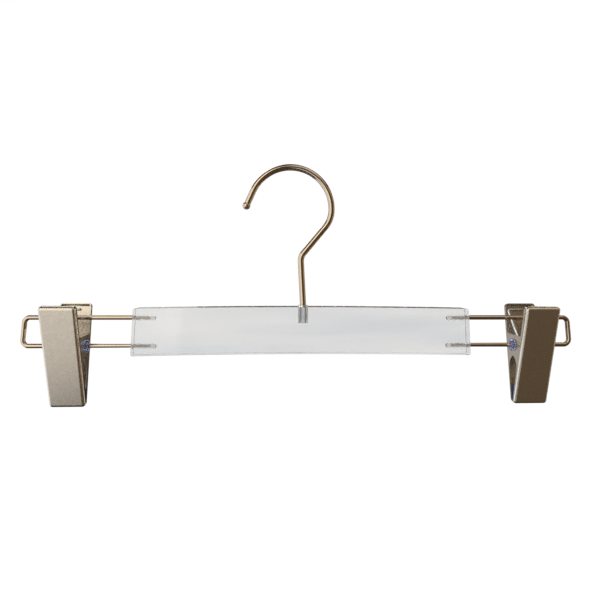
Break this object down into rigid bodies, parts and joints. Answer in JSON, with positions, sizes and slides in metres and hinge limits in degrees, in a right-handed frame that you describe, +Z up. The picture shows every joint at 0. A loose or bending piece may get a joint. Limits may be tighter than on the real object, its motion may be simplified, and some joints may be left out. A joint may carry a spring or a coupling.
{
  "type": "clothes hanger",
  "caption": "Trouser and skirt hanger: a clear bar with a swivel hook, wire loops at its ends, and sprung metal clips that slide along the loops.",
  "frame": {"origin": "the rail seat, on the underside of the hook's crown, where a rail touches the wire", "axes": "+Z up, +X along the bar towards the right clip seen from the front, -Y towards the front"},
  "size_m": [0.356, 0.0336, 0.154],
  "materials": {
    "satin_nickel": "satin nickel plate with a warm champagne tone",
    "bright_zinc": "bright zinc plated spring wire",
    "clear_acrylic": "frosted clear acrylic with polished edges",
    "grip_pvc": "soft matt ribbed grip",
    "bush_plastic": "translucent blue moulded plastic"
  },
  "bodies": {
    "hook": {"hook_wire": "satin_nickel", "hook_foot": "satin_nickel"},
    "bar_frame": {"bar": "clear_acrylic", "hook_sleeve": "satin_nickel", "left_wire_loop": "satin_nickel", "right_wire_loop": "satin_nickel"},
    "left_slider": {"left_inner_bush": "bush_plastic", "left_outer_bush": "bush_plastic"},
    "left_clip": {"left_torsion_spring": "bright_zinc"},
    "left_front_jaw": {"left_front_plate": "satin_nickel", "left_front_pad": "grip_pvc"},
    "left_back_jaw": {"left_back_plate": "satin_nickel", "left_back_pad": "grip_pvc"},
    "right_slider": {"right_inner_bush": "bush_plastic", "right_outer_bush": "bush_plastic"},
    "right_clip": {"right_torsion_spring": "bright_zinc"},
    "right_front_jaw": {"right_front_plate": "satin_nickel", "right_front_pad": "grip_pvc"},
    "right_back_jaw": {"right_back_plate": "satin_nickel", "right_back_pad": "grip_pvc"}
  },
  "joints": [
    {"name": "hook_swivel", "type": "hinge", "parent": "hook", "child": "bar_frame", "pos_m": [0.00815, 0, -0.092], "axis": [0, 0, 1], "continuous": true},
    {"name": "left_slide", "type": "slide", "parent": "bar_frame", "child": "left_slider", "axis": [1, 0, 0], "range_m": [-0.0105, 0.026]},
    {"name": "left_swing", "type": "hinge", "parent": "left_slider", "child": "left_clip", "pos_m": [-0.14055, 0, -0.11149], "axis": [1, 0, 0], "range_deg": [-9, 9]},
    {"name": "left_front_open", "type": "hinge", "parent": "left_clip", "child": "left_front_jaw", "pos_m": [-0.14055, 0, -0.11149], "axis": [-1, 0, 0], "range_deg": [0, 20], "stiffness_Nm_per_rad": 0.25, "springref_deg": -57.3, "deforming": ["left_torsion_spring"]},
    {"name": "left_back_open", "type": "hinge", "parent": "left_clip", "child": "left_back_jaw", "pos_m": [-0.14055, 0, -0.11149], "axis": [1, 0, 0], "range_deg": [0, 20], "deforming": ["left_torsion_spring"]},
    {"name": "right_slide", "type": "slide", "parent": "bar_frame", "child": "right_slider", "axis": [1, 0, 0], "range_m": [-0.026, 0.0095]},
    {"name": "right_swing", "type": "hinge", "parent": "right_slider", "child": "right_clip", "pos_m": [0.15805, 0, -0.11149], "axis": [1, 0, 0], "range_deg": [-9, 9]},
    {"name": "right_front_open", "type": "hinge", "parent": "right_clip", "child": "right_front_jaw", "pos_m": [0.15805, 0, -0.11149], "axis": [-1, 0, 0], "range_deg": [0, 20], "stiffness_Nm_per_rad": 0.25, "springref_deg": -57.3, "deforming": ["right_torsion_spring"]},
    {"name": "right_back_open", "type": "hinge", "parent": "right_clip", "child": "right_back_jaw", "pos_m": [0.15805, 0, -0.11149], "axis": [1, 0, 0], "range_deg": [0, 20], "deforming": ["right_torsion_spring"]}
  ],
  "couplings": [
    {"joint": "left_back_open", "follows": "left_front_open", "ratio": 1},
    {"joint": "right_back_open", "follows": "right_front_open", "ratio": 1}
  ]
}
